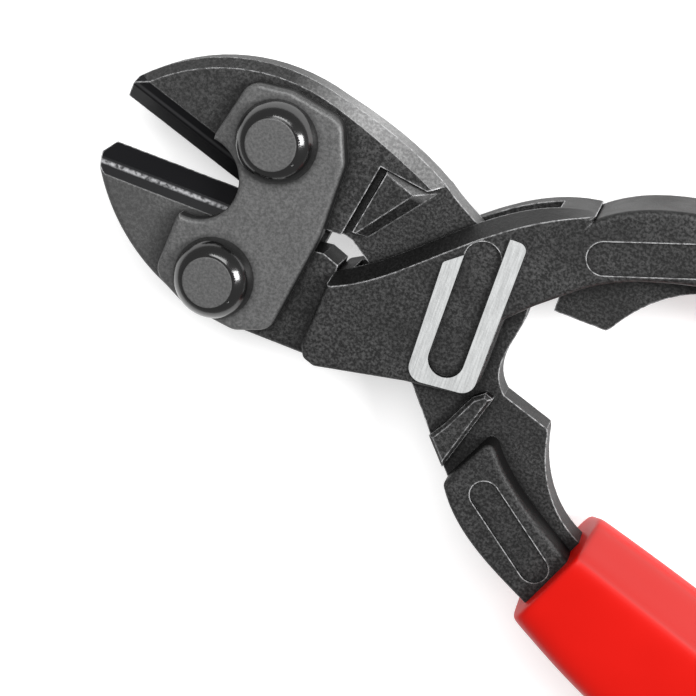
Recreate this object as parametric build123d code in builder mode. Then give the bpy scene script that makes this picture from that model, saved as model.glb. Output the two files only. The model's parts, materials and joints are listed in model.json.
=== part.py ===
"""Compact bolt cutters: two crossing forged levers, joined by a pair of riveted link plates.

Units are millimetres. X runs along the closed tool from the blades to the grips, Y across it, Z is
its thickness, and the tool lies flat on Z = 0. The lower jaw goes on into the upper handle, and the
upper jaw goes on, through a window in the other lever, into the lower handle. The origin is the
middle of the footprint. Each lever is drawn as it lies in the closed tool, where the two blades meet
along the centreline, and the upper jaw's lever is then turned open about its pole.
"""
from build123d import *
from math import cos, radians, sin, tan
import os

os.makedirs("parts", exist_ok=True)

# Travel, in degrees: the blades stand open at rest, and the tool opens a little further
REST_OPENING = 17.5
EXTRA_OPENING = 6.0

# Rivet centres at rest, measured from the root of the blades on the centreline
UPPER_RIVET = Vector(1.6, 10.8)
LOWER_RIVET = Vector(-1.5, -13.6)

# Footprint: where the root of the blades lies from the middle of the tool, and its mid-plane
ROOT_X = -73.65
ROOT_Y = 20.976
MID_Z = 10.2

# Half thicknesses, from the mid-plane
JAW_HALF = 3.55
ARM_HALF = 2.4
CHEEK_GAP_HALF = 2.7
LEVER_HALF = 7.0
PAD_HALF = 7.45
RECESS_HALF = 6.6
WEB_HALF = 2.4
TANG_HALF = 3.2
PLATE_INNER = 3.7
PLATE_OUTER = 6.5
HEAD_HALF = MID_Z
GRIP_HALF = MID_Z
GRIP_EDGE_HALF = 2.0

# Rivets and guide pin
SHANK_R = 4.0
HEAD_BASE_R = 6.6
HEAD_TOP_R = 4.2
HEAD_FOOT = 0.3
HEAD_BULGE = 0.55
HEAD_EDGE = 0.25
RUNNING_FIT = 0.05
SEAT_FIT = 0.01
GUIDE_PIN = Vector(37.6, -2.5)
GUIDE_PIN_R = 2.0
GUIDE_FIT = 0.1
GUIDE_PIN_FRONT = 5.6
GUIDE_PIN_END_GAP = 0.1
GUIDE_PIN_EDGE = 0.3

# Blades
BLADE_TIP_X = -26.3
BLADE_ROOT_X = -2.8
BLADE_GAP_HALF = 0.05
FLAT_GAP_HALF = 0.25

# Features of the levers
TONGUE_CORNER_R = 1.2
WINDOW_R = 48.6
WINDOW_ARC = 18.8
WEB_START_X = 50.6
LOWER_JAW_EDGE_R = 1.2
UPPER_JAW_BEVEL = 1.5
LEVER_EDGE_R = 0.9
TONGUE_BEVEL_HALF = 3.2
BEVEL_CUT_X = 10.0
BEVEL_CUT_Y = 30.0
SHOULDER_HALF = 4.4
STEP_HALF = 4.4
STEP_EDGE = 0.6
OVAL_DEPTH = 0.45
OVAL_LENGTH = 19.0
OVAL_TURN = 19.5
UPPER_OVAL = (61.5, 14.2)
UPPER_OVAL_WIDTH = 5.2
LOWER_OVAL = (64.6, -16.3)
LOWER_OVAL_WIDTH = 4.8
PAD_ROOT = 1.0
CUT_CLEAR = 2.0
PAD_SLOT_LEFT = 35.0
PAD_SLOT_RIGHT = 40.8
PAD_SLOT_WIDTH = PAD_SLOT_RIGHT - PAD_SLOT_LEFT
PAD_SLOT_PLACE = ((PAD_SLOT_LEFT + PAD_SLOT_RIGHT) / 2, -3.5)
PAD_MOUTH_PLACE = ((PAD_SLOT_LEFT + PAD_SLOT_RIGHT) / 2, 8.0)
PAD_MOUTH_LENGTH = 20.0
PAD_SLOT_LENGTH = 22.8
PAD_CORNER_R = 0.7
PAD_END_R = 1.3
PAD_FOOT_R = 2.4

# Grips
GRIP_START_X = 73.8
SPINE_END_X = 76.0
TANG_END_X = 160.0

# The two hinges share the opening in the ratio of their distances from the root of the blades,
# so that the levers turn about the root. The pole is the one point that rest and closed share.
link_line = UPPER_RIVET - LOWER_RIVET
root_share = -LOWER_RIVET.Y / link_line.Y
LINK_SWING = REST_OPENING * (1 - root_share)
LEVER_TURN = REST_OPENING * root_share
link_dir = link_line.normalized()
link_left = Vector(-link_dir.Y, link_dir.X)
pole_offset = link_line.length / (1 / tan(radians(LINK_SWING / 2)) + 1 / tan(radians(LEVER_TURN / 2)))
pole = LOWER_RIVET + link_dir * (pole_offset / tan(radians(LINK_SWING / 2))) + link_left * pole_offset


def turned(point, centre, angle):
    """A point turned about a centre, in the plane of the tool."""
    arm = point - centre
    c, s = cos(radians(angle)), sin(radians(angle))
    return centre + Vector(arm.X * c - arm.Y * s, arm.X * s + arm.Y * c)


# Mid-planes: the lower jaw's lever lies as in the closed tool, the upper jaw's lever is turned open
root_point = Vector(ROOT_X, ROOT_Y, MID_Z)
LOWER = Plane(origin=root_point)
UPPER = Plane(
    origin=root_point + turned(Vector(0, 0), pole, -REST_OPENING),
    x_dir=turned(Vector(1, 0), Vector(0, 0), -REST_OPENING),
    z_dir=(0, 0, 1),
)


def in_upper_lever(point, closing):
    """Where a fixed point lies in the upper jaw's lever, when the tool is this far from rest to closed."""
    point = turned(point, LOWER_RIVET, -LINK_SWING * closing)
    point = turned(point, UPPER_RIVET, -LEVER_TURN * closing)
    return turned(point, pole, REST_OPENING)


def cross_plane(lever, x):
    """A plane across a lever, with its own X along the lever's Y."""
    return Plane(origin=lever.from_local_coords((x, 0, 0)), x_dir=lever.y_dir, z_dir=lever.x_dir)


def mirrored(points):
    """The same outline on the other side of the centreline."""
    return [(x, -y) for x, y in points]


upper_bore = in_upper_lever(UPPER_RIVET, 0)
FULLY_OPEN = -EXTRA_OPENING / REST_OPENING
guide_path = [in_upper_lever(GUIDE_PIN, closing) for closing in (FULLY_OPEN, (1 + FULLY_OPEN) / 2, 1)]

# Outlines that the two levers share, drawn below the centreline
SPINE_OUTER = [(51.6, -16.9), (56.5, -20.2), (64.5, -22.9), (SPINE_END_X, -24.8)]
SPINE_INNER = [(SPINE_END_X, -14.4), (65.0, -11.6), (58.0, -8.9), (53.0, -5.6)]
WEB_CURVE = [(59.8, -0.9), (61.6, -3.8), (66.0, -8.4), (SPINE_END_X, -12.2)]
TANG = [(74.0, -16.5), (78.0, -12.4), (100.0, -11.5), (TANG_END_X, -12.0), (TANG_END_X, -19.0),
        (110.0, -22.5), (78.0, -23.6), (74.0, -22.0)]
SPINE_SOCKET = [(70.0, -25.2), (SPINE_END_X, -25.0), (SPINE_END_X, -13.9), (70.0, -12.4)]
WEB_SOCKET = [(70.0, -15.0), (SPINE_END_X, -15.0), (SPINE_END_X, -11.8), (70.0, -9.3)]
GRIP_OUTER = [(GRIP_START_X, -28.2), (92.0, -31.6), (116.0, -32.2), (146.0, -29.0), (166.0, -25.4)]
GRIP_INNER = [(166.0, -11.4), (144.0, -8.6), (118.0, -7.4), (94.0, -7.2), (GRIP_START_X + 1.6, -7.8)]
GRIP_TOP_OUTER = [(GRIP_START_X + 0.6, -25.4), (92.0, -28.6), (116.0, -29.2), (146.0, -26.0),
                  (165.0, -22.6)]
GRIP_TOP_INNER = [(165.0, -14.8), (144.0, -13.0), (118.0, -12.1), (94.0, -11.9),
                  (GRIP_START_X + 1.4, -11.8)]
GRIP_END = (173.6, -17.8)
GRIP_TOP_END = (169.4, -18.6)
TONGUE_TOP = [(16.2, -6.2), (19.4, -4.3), (26.3, 1.2), (34.8, 9.0), (45.0, 15.6), (51.6, 17.4)]
TONGUE_TOP_FACE = [(15.4, -8.4), (22.0, -4.8), (29.3, 1.4), (36.6, 8.0), (45.2, 14.2), (52.4, 17.6)]
TONGUE_LOWER = [(47.8, 1.0), (44.1, -2.8), (43.9, -14.0), (42.0, -16.8), (32.8, -18.1), (18.2, -21.4),
                (16.1, -20.7), (15.2, -18.6)]
UPPER_BACK = [(-26.1, 4.4), (-14.0, 17.1), (2.0, 21.8)]
UPPER_BACK_END = (23.4, 20.9)
PAD_OUTLINE = [(32.3, 2.6), (32.7, -17.3), (43.5, -16.0), (43.7, 9.7), (PAD_SLOT_RIGHT, 9.7), (35.0, 4.8)]
PLATE_CORNERS = [(-5.4, 18.2), (1.5, 19.0), (10.4, 17.4), (12.9, 11.0), (12.7, -1.0), (9.6, -18.6),
                 (4.0, -20.9), (-5.0, -19.9), (-11.3, -16.6), (-10.4, -6.0), (-3.2, 0.6), (-8.6, 7.4)]
PLATE_NOTCH_CENTRE = (-8.9, 0.8)
PLATE_NOTCH_R = 6.7
PLATE_CORNER_R = 3.2
PLATE_EDGE_R = 0.9
SHOULDER_BASE = [(15.7, 5.6), (18.3, 6.6), (23.0, 19.2), (14.3, 17.4)]
SHOULDER_TOP = [(15.9, 6.3), (16.4, 6.4), (20.1, 16.9), (14.8, 17.1)]
LOWER_STEP = [(45.2, -12.9), (46.0, -9.5), (46.8, -3.2), (48.0, -1.4), (49.5, -1.4), (50.0, -15.8)]
BLADE_BEVEL = [(0.0, 0.0), (2.6, 2.3), (5.0, JAW_HALF), (5.0, 9.0), (-1.0, 9.0), (-1.0, 0.0)]


def grip_outline(outer, end, inner, side):
    """Closed outline of a grip: a long outer and inner curve, a round end and a straight front."""
    outer = [(x, side * y) for x, y in outer]
    inner = [(x, side * y) for x, y in inner]
    end = (end[0], side * end[1])
    Spline(*outer)
    Spline(outer[-1], end, inner[0])
    Spline(*inner)
    Line(inner[-1], outer[0])


def make_grip(lever, side):
    """A dipped grip: flat on both faces, sloping down to a thin inner edge, around the tang."""
    with BuildPart() as grip:
        with BuildSketch(lever):
            with BuildLine():
                grip_outline(GRIP_OUTER, GRIP_END, GRIP_INNER, side)
            make_face()
        extrude(amount=GRIP_EDGE_HALF, both=True)
        for face in (1, -1):
            with BuildSketch(lever.offset(face * GRIP_EDGE_HALF)):
                with BuildLine():
                    grip_outline(GRIP_OUTER, GRIP_END, GRIP_INNER, side)
                make_face()
            with BuildSketch(lever.offset(face * GRIP_HALF)):
                with BuildLine():
                    grip_outline(GRIP_TOP_OUTER, GRIP_TOP_END, GRIP_TOP_INNER, side)
                make_face()
            loft()
        # Hollow for the lever's end: the tang, and a short socket for the spine and its web
        for outline, half in ((TANG, TANG_HALF), (SPINE_SOCKET, LEVER_HALF), (WEB_SOCKET, WEB_HALF)):
            with BuildSketch(lever):
                with BuildLine():
                    Polyline(*[(x, side * y) for x, y in outline], close=True)
                make_face()
            extrude(amount=half, both=True, mode=Mode.SUBTRACT)
    return grip.part


def cut_bevels(lever, side):
    """Grind the cutting edge: a double bevel from each face to the mid-plane."""
    for face in (1, -1):
        with BuildSketch(cross_plane(lever, BLADE_TIP_X - 2)) as bevel:
            with BuildLine():
                Polyline(*[(side * (y + BLADE_GAP_HALF), face * z) for y, z in BLADE_BEVEL], close=True)
            make_face()
        extrude(bevel.sketch, amount=BLADE_ROOT_X - BLADE_TIP_X + 2.6, mode=Mode.SUBTRACT)


def face_edges(builder, half):
    """The outline edges of the two faces that lie at this distance from the mid-plane."""
    return [edge for edge in builder.edges()
            if abs(abs(edge.center().Z - MID_Z) - half) < 0.001
            and abs(edge.bounding_box().size.Z) < 0.001]


def open_edges(builder, lever, half):
    """The face edges, without the end that goes into the grip."""
    return [edge for edge in face_edges(builder, half)
            if lever.to_local_coords(edge.center()).X < SPINE_END_X - 0.5]


# ---- Lower jaw's lever: lower jaw, two-cheeked tongue, upper handle --------------------------------
with BuildPart() as lower_jaw:
    with BuildSketch(LOWER):
        with BuildLine():
            Polyline((0.5, -21.4), (16.4, -21.4), (16.4, -5.2), (13.6, -4.2), (10.6, -4.6), (-1.4, -1.2),
                     (BLADE_ROOT_X, -BLADE_GAP_HALF), (-24.8, -BLADE_GAP_HALF), (BLADE_TIP_X, -2.0),
                     (-25.4, -5.0))
            ThreePointArc((-25.4, -5.0), (-15.4, -15.9), (0.5, -21.4))
        make_face()
    extrude(amount=JAW_HALF, both=True)
    fillet([e for e in face_edges(lower_jaw, JAW_HALF) if e.geom_type == GeomType.CIRCLE], LOWER_JAW_EDGE_R)
    cut_bevels(LOWER, -1)

with BuildPart() as upper_handle:
    with BuildSketch(LOWER) as tongue_sketch:
        with BuildLine():
            Spline(*TONGUE_TOP)
            Line(TONGUE_TOP[-1], mirrored(SPINE_OUTER)[0])
            Spline(*mirrored(SPINE_OUTER))
            Line(mirrored(SPINE_OUTER)[-1], mirrored(SPINE_INNER)[0])
            Spline(*mirrored(SPINE_INNER))
            Polyline(mirrored(SPINE_INNER)[-1], *TONGUE_LOWER, TONGUE_TOP[0])
        make_face()
        fillet([v for v in tongue_sketch.vertices() if v.X < 45], TONGUE_CORNER_R)
    extrude(amount=LEVER_HALF, both=True)
    fillet(open_edges(upper_handle, LOWER, LEVER_HALF), LEVER_EDGE_R)
    # Sloping top edge of the tongue
    for face in (1, -1):
        for outline, half in ((TONGUE_TOP, TONGUE_BEVEL_HALF), (TONGUE_TOP_FACE, LEVER_HALF)):
            with BuildSketch(LOWER.offset(face * half)):
                with BuildLine():
                    Spline(*outline)
                    Polyline(outline[-1], (outline[-1][0], BEVEL_CUT_Y), (BEVEL_CUT_X, BEVEL_CUT_Y),
                             (BEVEL_CUT_X, outline[0][1]), outline[0])
                make_face()
        loft(mode=Mode.SUBTRACT)

with BuildPart() as lower_jaw_lever:
    add(upper_handle.part)
    # Window between the cheeks, for the upper jaw's arm to swing in
    with BuildSketch(LOWER):
        with BuildLine():
            Polyline((46.0, 15.7), (46.0, 27.0), (18.4, 27.0), (18.4, -3.4), (19.4, -6.2), (27.0, -21.5),
                     (27.0, -27.0), (WINDOW_R, -27.0), (WINDOW_R, 0))
            CenterArc((0, 0), WINDOW_R, 0, WINDOW_ARC)
            Line((WINDOW_R * cos(radians(WINDOW_ARC)), WINDOW_R * sin(radians(WINDOW_ARC))), (46.0, 15.7))
        make_face()
    extrude(amount=CHEEK_GAP_HALF, both=True, mode=Mode.SUBTRACT)
    add(lower_jaw.part)
    # Thin web under the spine, with the flat that grips against the other lever's
    with BuildSketch(LOWER):
        with BuildLine():
            Polyline((WEB_START_X, 8.0), (WEB_START_X, FLAT_GAP_HALF), (59.2, FLAT_GAP_HALF),
                     mirrored(WEB_CURVE)[0])
            Spline(*mirrored(WEB_CURVE))
            Polyline(mirrored(WEB_CURVE)[-1], (SPINE_END_X, 18.0), (60.0, 16.0), (WEB_START_X, 8.0))
        make_face()
    extrude(amount=WEB_HALF, both=True)
    # Tang that carries the grip
    with BuildSketch(LOWER):
        with BuildLine():
            Polyline(*mirrored(TANG), close=True)
        make_face()
    extrude(amount=TANG_HALF, both=True)
    # U-shaped ground pad around a sunk strip, and a sunk oval, on both faces
    for face in (1, -1):
        with BuildSketch(LOWER.offset(face * RECESS_HALF)):
            with Locations(PAD_SLOT_PLACE):
                SlotOverall(PAD_SLOT_LENGTH, PAD_SLOT_WIDTH, rotation=90)
        extrude(amount=face * CUT_CLEAR, mode=Mode.SUBTRACT)
        with BuildSketch(LOWER.offset(face * (LEVER_HALF - PAD_ROOT))) as pad_sketch:
            with BuildLine():
                Polyline(*PAD_OUTLINE, close=True)
            make_face()
            fillet([v for v in pad_sketch.vertices() if 0 < v.Y < 9], PAD_CORNER_R)
            fillet([v for v in pad_sketch.vertices() if v.Y > 9], PAD_END_R)
            fillet([v for v in pad_sketch.vertices() if v.Y < -15], PAD_FOOT_R)
            with Locations(PAD_SLOT_PLACE):
                SlotOverall(PAD_SLOT_LENGTH, PAD_SLOT_WIDTH, rotation=90, mode=Mode.SUBTRACT)
            with Locations(PAD_MOUTH_PLACE):
                Rectangle(PAD_SLOT_WIDTH, PAD_MOUTH_LENGTH, mode=Mode.SUBTRACT)
        extrude(amount=face * (PAD_HALF - LEVER_HALF + PAD_ROOT))
        with BuildSketch(LOWER.offset(face * (LEVER_HALF - OVAL_DEPTH))):
            with Locations(UPPER_OVAL):
                SlotOverall(OVAL_LENGTH, UPPER_OVAL_WIDTH, rotation=OVAL_TURN)
        extrude(amount=face * CUT_CLEAR, mode=Mode.SUBTRACT)
    # Bore for the lower rivet, and the seat of the guide pin, open at the rear cheek only
    with Locations(LOWER.location * Location((LOWER_RIVET.X, LOWER_RIVET.Y, 0))):
        Cylinder(SHANK_R + RUNNING_FIT, 4 * JAW_HALF, mode=Mode.SUBTRACT)
    with BuildSketch(LOWER.offset(-MID_Z)):
        with Locations((GUIDE_PIN.X, GUIDE_PIN.Y)):
            Circle(GUIDE_PIN_R + SEAT_FIT)
    extrude(amount=MID_Z + GUIDE_PIN_FRONT, mode=Mode.SUBTRACT)
lower_jaw_lever.part.label = "lower_jaw_lever"

# ---- Upper jaw's lever: upper jaw, arm through the window, lower handle ----------------------------
with BuildPart() as upper_jaw:
    with BuildSketch(UPPER):
        with BuildLine():
            Polyline(UPPER_BACK[0], (-26.2, 3.4), (BLADE_TIP_X, BLADE_GAP_HALF),
                     (BLADE_ROOT_X, BLADE_GAP_HALF), (-1.4, 1.3),
                     (12.0, 3.6), (14.7, 4.5), (13.3, 17.2), (21.4, 18.6), UPPER_BACK_END)
            Spline(UPPER_BACK_END, (17.0, 21.9), (9.0, 22.2), UPPER_BACK[2])
            ThreePointArc(*UPPER_BACK)
        make_face()
    extrude(amount=JAW_HALF, both=True)
    chamfer([e for e in face_edges(upper_jaw, JAW_HALF) if e.geom_type != GeomType.LINE], UPPER_JAW_BEVEL)
    cut_bevels(UPPER, 1)

with BuildPart() as shoulder:
    # Raised wedge beside the link plates, set off by a groove and sloping down to the arm
    for face in (1, -1):
        for outline, half in ((SHOULDER_BASE, ARM_HALF - 0.1), (SHOULDER_TOP, SHOULDER_HALF)):
            with BuildSketch(UPPER.offset(face * half)):
                with BuildLine():
                    Polyline(*outline, close=True)
                make_face()
        loft(ruled=True)

with BuildPart() as lower_handle:
    with BuildSketch(UPPER) as spine_sketch:
        with BuildLine():
            Spline(*SPINE_OUTER)
            Line(SPINE_OUTER[-1], SPINE_INNER[0])
            Spline(*SPINE_INNER)
            Line(SPINE_INNER[-1], SPINE_OUTER[0])
        make_face()
        fillet([v for v in spine_sketch.vertices() if v.X < 60], TONGUE_CORNER_R)
    extrude(amount=LEVER_HALF, both=True)
    fillet(open_edges(lower_handle, UPPER, LEVER_HALF), LEVER_EDGE_R)

with BuildPart() as lower_step:
    # Ridge across the arm, in front of the spine
    with BuildSketch(UPPER):
        with BuildLine():
            Polyline(*LOWER_STEP, close=True)
        make_face()
    extrude(amount=STEP_HALF, both=True)
    chamfer(face_edges(lower_step, STEP_HALF), STEP_EDGE)

with BuildPart() as upper_jaw_lever:
    add(upper_jaw.part)
    add(shoulder.part)
    add(lower_handle.part)
    add(lower_step.part)
    # Arm through the window, running on as the thin web with its gripping flat
    with BuildSketch(UPPER):
        with BuildLine():
            Spline(UPPER_BACK_END, (31.0, 19.1), (39.0, 17.2), (44.6, 14.0))
            Spline((44.6, 14.0), (46.2, 8.0), (47.2, 3.2), (50.6, -FLAT_GAP_HALF))
            Polyline((50.6, -FLAT_GAP_HALF), (59.2, -FLAT_GAP_HALF), WEB_CURVE[0])
            Spline(*WEB_CURVE)
            Polyline(WEB_CURVE[-1], (SPINE_END_X, -18.0), (60.0, -18.0), (51.6, -16.9), (45.2, -13.0),
                     (38.1, -8.3), (33.6, -6.0), (20.9, 3.3), (16.6, 4.6), (13.0, 4.4), (11.0, 6.0),
                     (11.0, 20.0), UPPER_BACK_END)
        make_face()
    extrude(amount=ARM_HALF, both=True)
    with BuildSketch(UPPER):
        with BuildLine():
            Polyline(*TANG, close=True)
        make_face()
    extrude(amount=TANG_HALF, both=True)
    for face in (1, -1):
        with BuildSketch(UPPER.offset(face * (LEVER_HALF - OVAL_DEPTH))):
            with Locations(LOWER_OVAL):
                SlotOverall(OVAL_LENGTH, LOWER_OVAL_WIDTH, rotation=-OVAL_TURN)
        extrude(amount=face * CUT_CLEAR, mode=Mode.SUBTRACT)
    with Locations(UPPER.location * Location((upper_bore.X, upper_bore.Y, 0))):
        Cylinder(SHANK_R + RUNNING_FIT, 4 * JAW_HALF, mode=Mode.SUBTRACT)
    # Curved slot for the guide pin, along the pin's own path in this lever
    with BuildSketch(UPPER):
        with BuildLine() as guide_line:
            ThreePointArc(*guide_path)
        SlotArc(guide_line.edges()[0], 2 * (GUIDE_PIN_R + GUIDE_FIT))
    extrude(amount=2 * ARM_HALF, both=True, mode=Mode.SUBTRACT)
upper_jaw_lever.part.label = "upper_jaw_lever"

# ---- Link plates -------------------------------------------------------------------------------------


def make_link_plate(inner, outer):
    """A kidney-shaped plate with two rivet holes, its outer edge rounded."""
    with BuildPart() as plate:
        with BuildSketch(LOWER.offset(inner)) as outline:
            with BuildLine():
                Polyline(*PLATE_CORNERS, close=True)
            make_face()
            fillet(outline.vertices(), PLATE_CORNER_R)
            with Locations(PLATE_NOTCH_CENTRE):
                Circle(PLATE_NOTCH_R, mode=Mode.SUBTRACT)
            with Locations((UPPER_RIVET.X, UPPER_RIVET.Y), (LOWER_RIVET.X, LOWER_RIVET.Y)):
                Circle(SHANK_R + SEAT_FIT, mode=Mode.SUBTRACT)
        extrude(amount=outer - inner)
        rim = [e for e in face_edges(plate, abs(outer))
               if all((LOWER.to_local_coords(e.center()) - rivet).length > HEAD_BASE_R
                      for rivet in (LOWER_RIVET, UPPER_RIVET))]
        fillet(rim, PLATE_EDGE_R)
    return plate.part


front_link_plate = make_link_plate(PLATE_INNER, PLATE_OUTER)
front_link_plate.label = "front_link_plate"
rear_link_plate = make_link_plate(-PLATE_INNER, -PLATE_OUTER)
rear_link_plate.label = "rear_link_plate"

# ---- Rivets and guide pin --------------------------------------------------------------------------


def make_rivet(centre):
    """A stout rivet: a plain shank between two heads with rounded sides and flat tops."""
    axis_point = LOWER.from_local_coords((centre.X, centre.Y, 0))
    profile_plane = Plane(origin=axis_point, x_dir=(1, 0, 0), z_dir=(0, -1, 0))
    head_side = ((HEAD_BASE_R, PLATE_OUTER), (HEAD_BASE_R, PLATE_OUTER + HEAD_FOOT), (HEAD_TOP_R, HEAD_HALF))
    with BuildPart() as rivet:
        with BuildSketch(profile_plane):
            with BuildLine():
                Polyline((0, 0), (SHANK_R, 0), (SHANK_R, PLATE_OUTER), head_side[0], head_side[1])
                SagittaArc(head_side[1], head_side[2], -HEAD_BULGE)
                Polyline(head_side[2], (0, HEAD_HALF), (0, 0))
            make_face()
            mirror(about=Plane.XZ)
        revolve(axis=Axis(axis_point, (0, 0, 1)))
        chamfer([e for e in rivet.edges().filter_by(GeomType.CIRCLE)
                 if abs(abs(e.center().Z - MID_Z) - HEAD_HALF) < 0.001], HEAD_EDGE)
    return rivet.part


upper_rivet = make_rivet(UPPER_RIVET)
upper_rivet.label = "upper_rivet"
lower_rivet = make_rivet(LOWER_RIVET)
lower_rivet.label = "lower_rivet"

with BuildPart() as guide_pin:
    with BuildSketch(LOWER.offset(-RECESS_HALF)):
        with Locations((GUIDE_PIN.X, GUIDE_PIN.Y)):
            Circle(GUIDE_PIN_R)
    extrude(amount=RECESS_HALF + GUIDE_PIN_FRONT - GUIDE_PIN_END_GAP)
    chamfer(guide_pin.faces().sort_by(Axis.Z)[-1].edges(), GUIDE_PIN_EDGE)
guide_pin.part.label = "guide_pin"

# ---- Grips ---------------------------------------------------------------------------------------
upper_grip = make_grip(LOWER, -1)
upper_grip.label = "upper_grip"
lower_grip = make_grip(UPPER, 1)
lower_grip.label = "lower_grip"

pieces = (lower_jaw_lever.part, upper_jaw_lever.part, front_link_plate, rear_link_plate, upper_rivet,
          lower_rivet, guide_pin.part, upper_grip, lower_grip)
for piece in pieces:
    export_step(piece, f"parts/{piece.label}.step")
    print(piece.label, len(piece.solids()), round(piece.volume), piece.is_valid)

print("overall size", Compound(children=list(pieces)).bounding_box().size)
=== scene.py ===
"""Looks of a pair of compact bolt cutters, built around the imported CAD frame."""
import json
from math import pi, radians, sin

import bmesh
import bpy
from mathutils import Euler, Matrix, Vector


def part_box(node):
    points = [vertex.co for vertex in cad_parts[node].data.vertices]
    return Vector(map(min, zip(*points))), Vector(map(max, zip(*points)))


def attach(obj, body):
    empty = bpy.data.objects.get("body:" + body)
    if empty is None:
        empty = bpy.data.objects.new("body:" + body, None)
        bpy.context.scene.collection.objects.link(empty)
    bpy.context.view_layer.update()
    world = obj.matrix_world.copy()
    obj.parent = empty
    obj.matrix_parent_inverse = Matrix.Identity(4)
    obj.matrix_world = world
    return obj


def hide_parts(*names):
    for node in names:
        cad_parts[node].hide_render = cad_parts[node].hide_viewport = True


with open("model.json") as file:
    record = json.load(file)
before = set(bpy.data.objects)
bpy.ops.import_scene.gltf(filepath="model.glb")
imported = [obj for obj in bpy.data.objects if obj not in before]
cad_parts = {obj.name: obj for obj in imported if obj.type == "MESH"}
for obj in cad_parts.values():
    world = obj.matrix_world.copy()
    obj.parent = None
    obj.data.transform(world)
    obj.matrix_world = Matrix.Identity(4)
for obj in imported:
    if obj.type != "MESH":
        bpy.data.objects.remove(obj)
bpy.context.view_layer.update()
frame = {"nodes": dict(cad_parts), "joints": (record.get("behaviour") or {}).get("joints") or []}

bl_info = {
    "name": "Bolt cutters",
    "version": (1, 0, 0),
    "blender": (4, 5, 0),
    "location": "View3D > Sidebar > Bolt cutters",
    "description": "Finishes, dipped grips and studio for compact bolt cutters",
    "category": "Object",
}

MM = 0.001

# Places taken from the frame: the mid-plane, the two rivets and the root of the blades
JOINTS = {joint["name"]: joint for joint in frame["joints"]}
LOWER_RIVET = Vector(JOINTS["link_swing"]["pos_m"])
UPPER_RIVET = Vector(JOINTS["lever_turn"]["pos_m"])
MID_Z = LOWER_RIVET.z
ROOT_FROM_RIVET = Vector((1.5, 13.6, 0))
ROOT = LOWER_RIVET + ROOT_FROM_RIVET * MM
GRIP_TOP = (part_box("upper_grip")[1][2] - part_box("upper_grip")[0][2]) / 2
HEAD_TOP = (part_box("upper_rivet")[1][2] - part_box("upper_rivet")[0][2]) / 2
PAD_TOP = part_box("lower_jaw_lever")[1][2] - MID_Z

# Colours that the settings leave alone
# Bare steel on the worn jaw, and the painted highlight on the jaw's back edge
BARE_STEEL_AND_HIGHLIGHT = (0.42, 0.42, 0.42, 1)
# Painted edge highlights, partly edge wear, on the forgings, plates and rivets
WORN_AND_HIGHLIT_STEEL = (0.78, 0.78, 0.79, 1)
WORN_AND_HIGHLIT_PLATE = (0.5, 0.5, 0.5, 1)
WORN_AND_HIGHLIT_RIVET = (0.45, 0.45, 0.45, 1)
# Painted highlight along the blade's bevel
BEVEL_HIGHLIGHT_GREY = (0.34, 0.34, 0.35, 1)
SMOOTH_BLACK = (0.006, 0.006, 0.007, 1)
RIVET_BLACK = (0.006, 0.006, 0.006, 1)
# Painted shade for inner corners
PAINTED_CORNER_SHADE = (0.002, 0.002, 0.002, 1)
PAPER_WHITE = (0.75, 0.75, 0.75, 1)
LIGHT_WHITE = (1, 1, 1, 1)


def turn_about(point, degrees):
    """A turn about an upright axis through a point."""
    move = Matrix.Translation(point)
    return move @ Matrix.Rotation(radians(degrees), 4, "Z") @ move.inverted()


def closing_turn():
    """How the upper jaw's lever moves from rest until the blades meet."""
    swing = JOINTS["link_swing"]["range_deg"][1]
    turn = JOINTS["lever_turn"]["range_deg"][1]
    return turn_about(LOWER_RIVET, swing) @ turn_about(UPPER_RIVET, turn)


# ---- Properties ----------------------------------------------------------------------------------


class SteelSettings(bpy.types.PropertyGroup):
    forging_colour: bpy.props.FloatVectorProperty(
        name="Forging", description="Colour of the blackened forgings", subtype="COLOR",
        size=4, min=0, max=1, default=(0.025, 0.025, 0.025, 1))
    plate_colour: bpy.props.FloatVectorProperty(
        name="Link plates", description="Colour of the satin link plates", subtype="COLOR",
        size=4, min=0, max=1, default=(0.12, 0.12, 0.12, 1))
    pad_colour: bpy.props.FloatVectorProperty(
        name="Ground pad", description="Colour of the ground steel pad", subtype="COLOR",
        size=4, min=0, max=1, default=(0.56, 0.57, 0.57, 1))
    grain: bpy.props.FloatProperty(
        name="Blast grain", description="Size of the grain left by blasting", unit="LENGTH",
        default=0.00045)
    # Brightness of the painted edge highlights, partly edge wear
    edge_wear_and_highlight: bpy.props.FloatProperty(
        name="Edge wear", description="How bright the worn edges are", subtype="FACTOR", default=0.8)


class GripSettings(bpy.types.PropertyGroup):
    colour: bpy.props.FloatVectorProperty(
        name="Vinyl", description="Colour of the dipped grips", subtype="COLOR",
        size=4, min=0, max=1, default=(0.60, 0.005, 0.0015, 1))
    # Colour of the painted sheen on the grips' inner slopes
    slope_sheen_colour: bpy.props.FloatVectorProperty(
        name="Inner slope", description="Colour of the grips' inner slopes", subtype="COLOR",
        size=4, min=0, max=1, default=(0.46, 0.038, 0.034, 1))
    edge_radius: bpy.props.FloatProperty(
        name="Edge radius", description="Rounding at the front of a grip", unit="LENGTH",
        default=0.0009)


class StudioSettings(bpy.types.PropertyGroup):
    camera_place: bpy.props.FloatVectorProperty(
        name="Camera", description="Where the camera stands", subtype="TRANSLATION", unit="LENGTH",
        size=3, default=(-0.0154, 0.0964, 0.2821))
    camera_turn: bpy.props.FloatVectorProperty(
        name="Camera turn", description="Which way the camera looks", subtype="EULER", unit="ROTATION",
        size=3, default=(radians(-15.54), radians(13.32), radians(18.41)))
    sky: bpy.props.FloatProperty(
        name="Sky", description="Strength of the light from all round", default=0.3)
    table_glow: bpy.props.FloatProperty(
        name="Table glow", description="Light that the table itself gives", default=0.55)
    focal_length: bpy.props.FloatProperty(
        name="Focal length", description="Focal length of the lens", unit="CAMERA", default=92.6)


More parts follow.
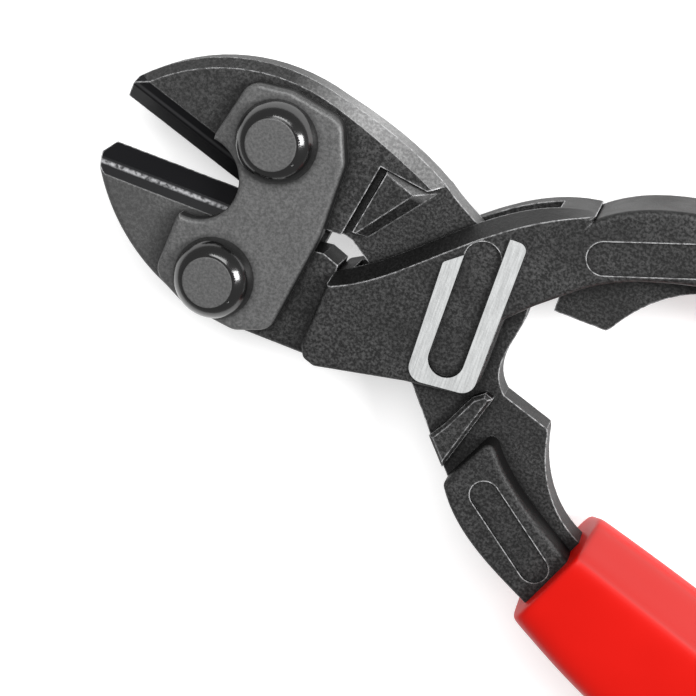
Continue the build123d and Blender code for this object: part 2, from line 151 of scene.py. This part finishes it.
# ---- Node helpers --------------------------------------------------------------------------------


# Places of the colour sockets on a Mix node, which has one of each name for every data type
MIX_COLOUR_A = 6
MIX_COLOUR_B = 7
MIX_COLOUR_RESULT = 2
CORNER_SAMPLES = 6


class Shader:
    """Builds one material, node by node."""

    def __init__(self, name):
        self.material = bpy.data.materials.new(name)
        self.material.use_nodes = True
        self.tree = self.material.node_tree
        self.tree.nodes.clear()
        output = self.add("ShaderNodeOutputMaterial")
        self.bsdf = self.add("ShaderNodeBsdfPrincipled")
        self.link(self.bsdf.outputs["BSDF"], output.inputs["Surface"])
        self.place = self.add("ShaderNodeTexCoord").outputs["Object"]

    def add(self, kind, **values):
        node = self.tree.nodes.new(kind)
        for key, value in values.items():
            setattr(node, key, value)
        return node

    def link(self, source, target):
        self.tree.links.new(source, target)

    def feed(self, socket, value):
        """A link when the value is a socket, else a constant."""
        if isinstance(value, bpy.types.NodeSocket):
            self.link(value, socket)
        elif isinstance(value, float) and socket.type == "RGBA":
            socket.default_value = (value, value, value, 1)
        else:
            socket.default_value = value

    def noise(self, scale, detail=3, stretch=None, roughness=0.55):
        node = self.add("ShaderNodeTexNoise")
        node.inputs["Scale"].default_value = scale
        node.inputs["Detail"].default_value = detail
        node.inputs["Roughness"].default_value = roughness
        place = self.place
        if stretch:
            mapping = self.add("ShaderNodeMapping")
            self.link(place, mapping.inputs["Vector"])
            mapping.inputs["Scale"].default_value = stretch
            place = mapping.outputs["Vector"]
        self.link(place, node.inputs["Vector"])
        return node.outputs["Fac"]

    def math(self, operation, a, b=0.0, clamp=False):
        node = self.add("ShaderNodeMath", operation=operation, use_clamp=clamp)
        self.feed(node.inputs[0], a)
        self.feed(node.inputs[1], b)
        return node.outputs[0]

    def ramp(self, value, low, high, out_low=0.0, out_high=1.0):
        node = self.add("ShaderNodeMapRange")
        self.feed(node.inputs["Value"], value)
        node.inputs["From Min"].default_value = low
        node.inputs["From Max"].default_value = high
        node.inputs["To Min"].default_value = out_low
        node.inputs["To Max"].default_value = out_high
        return node.outputs["Result"]

    def mix(self, factor, a, b):
        node = self.add("ShaderNodeMix", data_type="RGBA")
        self.feed(node.inputs["Factor"], factor)
        self.feed(node.inputs[MIX_COLOUR_A], a)
        self.feed(node.inputs[MIX_COLOUR_B], b)
        return node.outputs[MIX_COLOUR_RESULT]

    def bump(self, height, strength, distance, below=None):
        node = self.add("ShaderNodeBump")
        node.inputs["Strength"].default_value = strength
        node.inputs["Distance"].default_value = distance
        self.link(height, node.inputs["Height"])
        if below:
            self.link(below, node.inputs["Normal"])
        return node.outputs["Normal"]

    def height(self):
        """Distance from the tool's mid-plane."""
        split = self.add("ShaderNodeSeparateXYZ")
        self.link(self.place, split.inputs[0])
        return self.math("ABSOLUTE", self.math("SUBTRACT", split.outputs["Z"], MID_Z))

    def worn_and_highlit_edges(self, radius):
        """1 along convex and concave edges, from the bend of a rounded normal; it places painted edge
        highlights together with edge wear.
        """
        bevel = self.add("ShaderNodeBevel", samples=CORNER_SAMPLES)
        bevel.inputs["Radius"].default_value = radius
        geometry = self.add("ShaderNodeNewGeometry")
        dot = self.add("ShaderNodeVectorMath", operation="DOT_PRODUCT")
        self.link(bevel.outputs["Normal"], dot.inputs[0])
        self.link(geometry.outputs["Normal"], dot.inputs[1])
        return self.ramp(self.math("SUBTRACT", 1.0, dot.outputs["Value"]), 0.02, 0.12)

    def facing(self):
        """1 on the flat faces of the tool, 0 on its side walls."""
        split = self.add("ShaderNodeSeparateXYZ")
        self.link(self.add("ShaderNodeNewGeometry").outputs["Normal"], split.inputs[0])
        return self.math("ABSOLUTE", split.outputs["Z"])

    def open_air(self, distance):
        """1 where nothing stands close, 0 in inner corners."""
        corner = self.add("ShaderNodeAmbientOcclusion", samples=CORNER_SAMPLES)
        corner.inputs["Distance"].default_value = distance
        return self.ramp(corner.outputs["AO"], 0.72, 0.92)

    def shaded(self, colour, distance, floor):
        """The colour, darker in corners: painted shade."""
        corner = self.add("ShaderNodeAmbientOcclusion", samples=CORNER_SAMPLES)
        corner.inputs["Distance"].default_value = distance
        return self.mix(self.ramp(corner.outputs["AO"], 0.35, 0.95, floor, 1.0), PAINTED_CORNER_SHADE, colour)

    def lever_place(self, settle):
        """Places along and across a lever, from the root of its blade."""
        mapping = self.add("ShaderNodeMapping")
        mapping.inputs["Location"].default_value = settle.translation - ROOT
        mapping.inputs["Rotation"].default_value = settle.to_euler()
        self.link(self.place, mapping.inputs["Vector"])
        split = self.add("ShaderNodeSeparateXYZ")
        self.link(mapping.outputs["Vector"], split.inputs[0])
        return split.outputs["X"], split.outputs["Y"]

    def set(self, **values):
        for key, value in values.items():
            self.feed(self.bsdf.inputs[key.replace("_", " ")], value)


def grey(base, gain):
    """A colour made lighter or darker."""
    return tuple(min(1.0, channel * gain) for channel in base[:3]) + (1,)


# Masks on a lever, by its place along and across from the root of its blade
BLADE_HALF = 4.9 * MM
BLADE_END = -1.2 * MM
LINE_PLACE = 3.3 * MM
LINE_CORE = 0.12 * MM
LINE_RIM = 0.4 * MM
PAD_FILM = 0.06 * MM
HEAD_FILM = 0.02 * MM


def blade_mask(s, along, across):
    """1 on the ground faces of the blade."""
    near = s.math("LESS_THAN", s.math("ABSOLUTE", across), BLADE_HALF)
    return s.math("MULTIPLY", near, s.math("LESS_THAN", along, BLADE_END))


def bevel_highlight_mask(s, across, blade, strength):
    """The painted highlight: a bright, broken line along the blade's bevel."""
    from_line = s.math("ABSOLUTE", s.math("SUBTRACT", s.math("ABSOLUTE", across), LINE_PLACE))
    line = s.math("MULTIPLY", blade, s.ramp(from_line, LINE_CORE, LINE_RIM, 1.0, 0.0))
    return s.math("MULTIPLY", line, s.ramp(s.noise(1500), 0.35, 0.6, 0.1, strength))


def back_highlight_mask(s, along, across, facing):
    """1 on the back edge of the jaw, where a highlight is painted, weaker towards the handle."""
    back = s.math("MULTIPLY", s.ramp(across, 16 * MM, 17 * MM), s.ramp(along, -6 * MM, 8 * MM))
    back = s.math("MULTIPLY", back, s.ramp(facing, 0.97, 0.9))
    return s.math("MULTIPLY", back, s.ramp(along, 6 * MM, 18 * MM, 1.0, 0.45))


def forged_steel(name, steel, settle, bevel_highlight_strength, back_highlight, jaw_wear):
    """Blasted and blackened forging, with smooth black blades and a bright ground pad, with painted shade on
    side walls and in corners and painted highlights on edges, the bevel and the jaw's back.

    settle takes the lever from rest to the closed tool, where its blade lies along the centreline."""
    s = Shader(name)
    facing = s.facing()
    grain = s.noise(1 / steel.grain, roughness=0.7)
    patches = s.noise(130, detail=4)
    speckle = s.ramp(grain, 0.42, 0.66)
    black = s.mix(s.math("MULTIPLY", speckle, s.ramp(patches, 0.3, 0.7, 0.5, 1.0)),
                  grey(steel.forging_colour, 0.5), grey(steel.forging_colour, 3.2))
    # Painted shade: side walls darker than the flat faces
    black = s.mix(s.ramp(facing, 0.3, 0.9), grey(steel.forging_colour, 0.12), black)
    along, across = s.lever_place(settle)
    blade = blade_mask(s, along, across)
    black = s.mix(blade, black, SMOOTH_BLACK)
    # Painted highlight along the blade's bevel
    black = s.mix(bevel_highlight_mask(s, across, blade, bevel_highlight_strength), black, BEVEL_HIGHLIGHT_GREY)
    # Painted highlight on the back edge of the jaw
    back = s.math("MULTIPLY", back_highlight_mask(s, along, across, facing), back_highlight)
    black = s.mix(back, black, s.mix(speckle, grey(BARE_STEEL_AND_HIGHLIGHT, 0.6), BARE_STEEL_AND_HIGHLIGHT))
    jaw = s.math("MULTIPLY", s.ramp(along, -1 * MM, -7 * MM), s.math("SUBTRACT", 1.0, blade))
    black = s.mix(s.math("MULTIPLY", jaw, jaw_wear), black, BARE_STEEL_AND_HIGHLIGHT)
    # Painted highlight along the convex edges, partly edge wear, kept out of inner corners
    wear_and_highlight = s.math("MULTIPLY", s.worn_and_highlit_edges(0.0004), s.ramp(s.noise(1100, detail=2), 0.38, 0.58, 0.25, 1.0))
    wear_and_highlight = s.math("MULTIPLY", wear_and_highlight, s.open_air(0.0006))
    black = s.mix(s.math("MULTIPLY", wear_and_highlight, steel.edge_wear_and_highlight, clamp=True), black, WORN_AND_HIGHLIT_STEEL)
    ground = s.ramp(s.height(), PAD_TOP - 2 * PAD_FILM, PAD_TOP - PAD_FILM)
    streaks = s.noise(420, stretch=(9.0, 0.6, 1.0), roughness=0.7)
    bright = s.mix(s.ramp(streaks, 0.35, 0.65), grey(steel.pad_colour, 0.8), grey(steel.pad_colour, 1.1))
    dull = s.mix(blade, s.ramp(patches, 0.3, 0.7, 0.45, 0.58), 0.4)
    s.feed(s.bsdf.inputs["Specular IOR Level"], s.ramp(blade, 0, 1, 0.3, 0.12))
    s.set(Base_Color=s.shaded(s.mix(ground, black, bright), 0.0022, 0.15),
          Metallic=s.ramp(ground, 0, 1, 0.1, 0.25),
          Roughness=s.mix(ground, dull, 0.45))
    blast = s.bump(s.math("MULTIPLY", grain, s.math("SUBTRACT", 1.0, blade)), 0.8, 0.00008)
    s.link(s.bump(streaks, 0.12, 0.00002, blast), s.bsdf.inputs["Normal"])
    return s.material


def plate_steel(steel):
    """Satin steel of the link plates, finely mottled, with a painted highlight and some wear at the rim, and
    painted shade on the side walls and in corners.
    """
    s = Shader("plate_steel")
    mottle = s.noise(2300, roughness=0.7)
    clouds = s.noise(160)
    colour = s.mix(s.ramp(mottle, 0.38, 0.66), grey(steel.plate_colour, 0.7), grey(steel.plate_colour, 1.35))
    # Painted shade: side walls darker than the flat faces
    colour = s.mix(s.ramp(s.facing(), 0.2, 0.9), grey(steel.plate_colour, 0.12), colour)
    # Painted highlight along the plate's edges, partly edge wear
    colour = s.mix(s.math("MULTIPLY", s.worn_and_highlit_edges(0.0003), 0.6), colour, WORN_AND_HIGHLIT_PLATE)
    s.set(Base_Color=s.shaded(colour, 0.0012, 0.25), Metallic=0.25,
          Roughness=s.ramp(clouds, 0.3, 0.7, 0.4, 0.5))
    s.link(s.bump(mottle, 0.3, 0.00004), s.bsdf.inputs["Normal"])
    return s.material


def rivet_steel(steel):
    """Glossy black side, with a ground satin face."""
    s = Shader("rivet_steel")
    face = s.ramp(s.height(), HEAD_TOP - 2.5 * HEAD_FILM, HEAD_TOP - HEAD_FILM)
    mottle = s.noise(2300, roughness=0.7)
    satin = s.mix(s.ramp(mottle, 0.38, 0.66), grey(steel.plate_colour, 0.6), grey(steel.plate_colour, 1.1))
    # Painted highlight along the rivet's edges, partly edge wear
    satin = s.mix(s.math("MULTIPLY", s.worn_and_highlit_edges(0.0003), 0.8), satin, WORN_AND_HIGHLIT_RIVET)
    s.set(Base_Color=s.mix(face, RIVET_BLACK, satin),
          Metallic=s.ramp(face, 0, 1, 0.0, 0.2), Roughness=s.ramp(face, 0, 1, 0.16, 0.46))
    s.bsdf.inputs["Specular IOR Level"].default_value = 0.8
    s.link(s.bump(mottle, 0.12, 0.00003), s.bsdf.inputs["Normal"])
    return s.material


def grip_vinyl(name, grip, inward):
    """Smooth dipped vinyl with the faintest orange peel, with a paler painted sheen on its inner slope.

    inward points from the grip to the tool's centreline."""
    s = Shader(name)
    clouds = s.noise(60)
    peel = s.noise(900, detail=2)
    colour = s.mix(s.ramp(clouds, 0.3, 0.7), grey(grip.colour, 0.95), grey(grip.colour, 1.03))
    tilt = s.add("ShaderNodeVectorMath", operation="DOT_PRODUCT")
    s.link(s.add("ShaderNodeNewGeometry").outputs["Normal"], tilt.inputs[0])
    tilt.inputs[1].default_value = inward
    # Painted sheen: paler where the surface tilts towards the tool's centreline
    slope = s.math("MULTIPLY", s.ramp(tilt.outputs["Value"], 0.45, 0.62), s.ramp(s.facing(), 0.1, 0.3))
    colour = s.mix(s.math("MULTIPLY", slope, 0.85), colour, grip.slope_sheen_colour[:])
    s.set(Base_Color=colour, Roughness=s.ramp(clouds, 0.3, 0.7, 0.4, 0.48))
    s.bsdf.inputs["Specular IOR Level"].default_value = 0.2
    s.link(s.bump(peel, 0.08, 0.00003), s.bsdf.inputs["Normal"])
    return s.material


# ---- Mesh helpers --------------------------------------------------------------------------------


def piece(name, mesh, material, body):
    """A finished mesh object, riding on its body."""
    obj = bpy.data.objects.new(name, mesh)
    bpy.context.scene.collection.objects.link(obj)
    mesh.materials.append(material)
    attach(obj, body)
    return obj


def smooth_steps(values, position):
    """A smooth curve through (station, value) pairs."""
    count = len(values)
    k = 0
    while k < count - 2 and position > values[k + 1][0]:
        k += 1
    (x1, y1), (x2, y2) = values[k], values[k + 1]
    x0, y0 = values[k - 1] if k > 0 else (2 * x1 - x2, 2 * y1 - y2)
    x3, y3 = values[k + 2] if k + 2 < count else (2 * x2 - x1, 2 * y2 - y1)
    span = x2 - x1
    t = (position - x1) / span
    m1 = (y2 - y0) / (x2 - x0) * span
    m2 = (y3 - y1) / (x3 - x1) * span
    a = 2 * t ** 3 - 3 * t ** 2 + 1
    b = t ** 3 - 2 * t ** 2 + t
    c = -2 * t ** 3 + 3 * t ** 2
    d = t ** 3 - t ** 2
    return a * y1 + b * m1 + c * y2 + d * m2


# ---- Grips ---------------------------------------------------------------------------------------

# Distances from the centreline and the root, in millimetres, for a grip of the closed tool
GRIP_OUTER = ((73.8, 28.1), (92.0, 31.5), (116.0, 32.1), (146.0, 28.9), (166.0, 25.3), (176.0, 23.0))
GRIP_INNER = ((73.8, 7.8), (94.0, 7.2), (118.0, 7.4), (144.0, 8.6), (166.0, 11.4), (176.0, 13.2))
GRIP_CREASE = ((73.8, 11.8), (94.0, 11.9), (118.0, 12.1), (144.0, 13.0), (166.0, 14.8), (176.0, 16.2))
GRIP_START = 73.8
GRIP_END = 173.5
GRIP_CLOSING = 15.0
GRIP_EDGE_HALF = 2.0
FRONT_STATIONS = (0.02, 0.35, 1.1, 4.2, 10.2, 18.2, 27.2, 36.2, 46.2, 56.2, 66.2, 76.2)
TAIL_STEPS = 9
FRONT_SLANT = 1.5 / 21.0
SLANT_FROM = 26.0
SLANT_LENGTH = 20
CAP_SHRINK = 0.86


def grip_section(x):
    """Half a section of a grip, from its outer edge over the top to its inner edge."""
    outer = smooth_steps(GRIP_OUTER, x)
    crease = smooth_steps(GRIP_CREASE, x)
    inner = smooth_steps(GRIP_INNER, x)
    top = GRIP_TOP / MM
    edge = GRIP_EDGE_HALF
    return [(outer, 0.0), (outer, 4.6), (outer - 0.5, 7.4), (outer - 1.9, 9.3), (outer - 4.4, top - 0.02),
            ((outer + crease) / 2, top), (crease + 1.6, top), (crease - 0.3, top - 0.5),
            (crease - 1.2, top - 1.9), ((crease + inner) / 2, (top + edge) / 2), (inner + 0.8, edge + 1.5),
            (inner + 0.2, edge), (inner, edge - 1.2), (inner, 0.0)]


def grip_rings(edge_radius):
    """Closed rings of points along a grip, drawn in at the round end and rolled over at the front."""
    stations = [GRIP_START + distance for distance in FRONT_STATIONS]
    stations += [GRIP_END - GRIP_CLOSING * (1 - sin(pi / 2 * step / TAIL_STEPS))
                 for step in range(TAIL_STEPS + 1)]
    rings = []
    for x in stations:
        half = grip_section(min(x, GRIP_END - 0.3))
        ring = half + [(y, -z) for y, z in reversed(half[1:-1])]
        middle = (smooth_steps(GRIP_OUTER, x) + smooth_steps(GRIP_INNER, x)) / 2
        closing = max(0.0, (x - (GRIP_END - GRIP_CLOSING)) / GRIP_CLOSING)
        shrink = max(0.02, (1 - min(closing, 0.999) ** 2.6) ** 0.5)
        roll = max(0.0, 1 - (x - GRIP_START) / (edge_radius / MM))
        inset = edge_radius / MM * (1 - (1 - roll ** 2) ** 0.5)
        points = []
        for y, z in ring:
            y = middle + (y - middle) * shrink
            z = z * shrink ** 0.7
            reach = Vector((y - middle, z))
            if inset and reach.length > 0:
                reach *= max(0.0, 1 - inset / reach.length)
                y, z = middle + reach.x, reach.y
            slant = FRONT_SLANT * (SLANT_FROM - y) * max(0.0, 1 - (x - GRIP_START) / SLANT_LENGTH)
            points.append((x + slant, y, z))
        rings.append(points)
    return rings


def bridge(bm, ring, following):
    """Faces from one ring of vertices to the next."""
    for k, vert in enumerate(ring):
        after = (k + 1) % len(ring)
        bm.faces.new((vert, ring[after], following[after], following[k]))


def grip_mesh(name, side, settle, edge_radius):
    """The mesh of one grip: side is 1 above the centreline, and settle takes it to its rest place."""
    bm = bmesh.new()
    rings = [[bm.verts.new(settle @ (ROOT + Vector((x, side * y, z)) * MM)) for x, y, z in ring]
             for ring in grip_rings(edge_radius)]
    for ring, following in zip(rings, rings[1:]):
        bridge(bm, ring, following)
    for ring in (rings[0], rings[-1]):
        middle = sum((vert.co for vert in ring), Vector()) / len(ring)
        inner = [bm.verts.new(middle + (vert.co - middle) * CAP_SHRINK) for vert in ring]
        bridge(bm, ring, inner)
        bm.faces.new(inner)
    bmesh.ops.recalc_face_normals(bm, faces=bm.faces)
    mesh = bpy.data.meshes.new(name)
    bm.to_mesh(mesh)
    bm.free()
    mesh.shade_smooth()
    return mesh


class CUTTERS_OT_grips(bpy.types.Operator):
    """Make the two dipped grips"""
    bl_idname = "cutters.grips"
    bl_label = "Dipped grips"

    def execute(self, context):
        grip = context.scene.cutters_grip
        places = (("upper", "lower_jaw_lever", 1, Matrix.Identity(4)),
                  ("lower", "upper_jaw_lever", -1, closing_turn().inverted()))
        for name, body, side, settle in places:
            inward = settle.to_3x3() @ Vector((0, -side, 0))
            vinyl = grip_vinyl(name + "_vinyl", grip, inward)
            mesh = grip_mesh(name + "_dipped_grip", side, settle, grip.edge_radius)
            obj = piece(name + "_dipped_grip", mesh, vinyl, body)
            finish = obj.modifiers.new("round", "SUBSURF")
            finish.levels = finish.render_levels = 2
            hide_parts(name + "_grip")
        return {"FINISHED"}


# ---- Steel ---------------------------------------------------------------------------------------


def finish_node(node, material):
    """Give a CAD node its finish."""
    for slot in frame["nodes"][node].material_slots:
        slot.material = material


class CUTTERS_OT_steel(bpy.types.Operator):
    """Give the forgings, the link plates and the guide pin their finishes"""
    bl_idname = "cutters.steel"
    bl_label = "Steel finishes"

    def execute(self, context):
        steel = context.scene.cutters_steel
        level = Matrix.Identity(4)
        plate = plate_steel(steel)
        rivet = rivet_steel(steel)
        finish_node("lower_jaw_lever", forged_steel(
            "lower_forging", steel, level, bevel_highlight_strength=1.0, back_highlight=0.0, jaw_wear=0.12))
        finish_node("upper_jaw_lever", forged_steel(
            "upper_forging", steel, closing_turn(), bevel_highlight_strength=0.1, back_highlight=0.8, jaw_wear=0.02))
        for node in ("front_link_plate", "rear_link_plate"):
            finish_node(node, plate)
        for node in ("upper_rivet", "lower_rivet", "guide_pin"):
            finish_node(node, rivet)
        return {"FINISHED"}


# ---- Studio --------------------------------------------------------------------------------------


LIGHT_TARGET = (-0.03, 0, 0.01)
FLOOR_SIZE = 6


def area_light(name, place, size, power):
    """A soft light that faces the jaws."""
    data = bpy.data.lights.new(name, "AREA")
    data.shape = "RECTANGLE"
    data.size, data.size_y = size
    data.energy = power
    light = bpy.data.objects.new(name, data)
    light.location = place
    light.rotation_euler = (Vector(LIGHT_TARGET) - Vector(place)).to_track_quat("-Z", "Y").to_euler()
    bpy.context.scene.collection.objects.link(light)


class CUTTERS_OT_studio(bpy.types.Operator):
    """Set the floor, the lights and the camera"""
    bl_idname = "cutters.studio"
    bl_label = "Studio"

    def execute(self, context):
        studio = context.scene.cutters_studio
        world = bpy.data.worlds.new("studio")
        context.scene.world = world
        world.use_nodes = True
        background = world.node_tree.nodes["Background"]
        background.inputs["Color"].default_value = LIGHT_WHITE
        background.inputs["Strength"].default_value = studio.sky
        bpy.ops.mesh.primitive_plane_add(size=FLOOR_SIZE, location=(0, 0, 0))
        floor = context.object
        floor.name = "studio_floor"
        paper = Shader("studio_paper")
        paper.set(Base_Color=PAPER_WHITE, Roughness=0.9, Emission_Color=LIGHT_WHITE,
                  Emission_Strength=studio.table_glow)
        floor.data.materials.append(paper.material)
        area_light("key", (0.50, 0.26, 0.46), (0.26, 0.30), 5.5)
        area_light("top", (-0.10, 0.42, 0.65), (0.50, 0.40), 4.0)
        camera = bpy.data.cameras.new("camera")
        camera.lens = studio.focal_length
        camera.sensor_width = 36
        camera.clip_start = 0.01
        eye = bpy.data.objects.new("camera", camera)
        eye.location = studio.camera_place
        eye.rotation_euler = Euler(studio.camera_turn)
        context.scene.collection.objects.link(eye)
        context.scene.camera = eye
        context.scene.view_settings.view_transform = "Standard"
        return {"FINISHED"}


class CUTTERS_PT_panel(bpy.types.Panel):
    """Lists the steps that finish the bolt cutters"""
    bl_idname = "CUTTERS_PT_panel"
    bl_label = "Bolt cutters"
    bl_space_type = "VIEW_3D"
    bl_region_type = "UI"
    bl_category = "Bolt cutters"

    def draw(self, context):
        for step in OPERATORS:
            self.layout.operator(step.bl_idname)
        for group in ("cutters_steel", "cutters_grip", "cutters_studio"):
            settings = getattr(context.scene, group)
            for key in settings.__annotations__:
                self.layout.prop(settings, key)


OPERATORS = (CUTTERS_OT_studio, CUTTERS_OT_steel, CUTTERS_OT_grips)
CLASSES = (SteelSettings, GripSettings, StudioSettings, *OPERATORS, CUTTERS_PT_panel)


def register():
    for cls in CLASSES:
        bpy.utils.register_class(cls)
    bpy.types.Scene.cutters_steel = bpy.props.PointerProperty(type=SteelSettings)
    bpy.types.Scene.cutters_grip = bpy.props.PointerProperty(type=GripSettings)
    bpy.types.Scene.cutters_studio = bpy.props.PointerProperty(type=StudioSettings)


def unregister():
    for name in ("cutters_studio", "cutters_grip", "cutters_steel"):
        delattr(bpy.types.Scene, name)
    for cls in reversed(CLASSES):
        bpy.utils.unregister_class(cls)


def main():
    register()
    bpy.ops.cutters.studio()
    bpy.ops.cutters.steel()
    bpy.ops.cutters.grips()


if __name__ == "__main__":
    main()
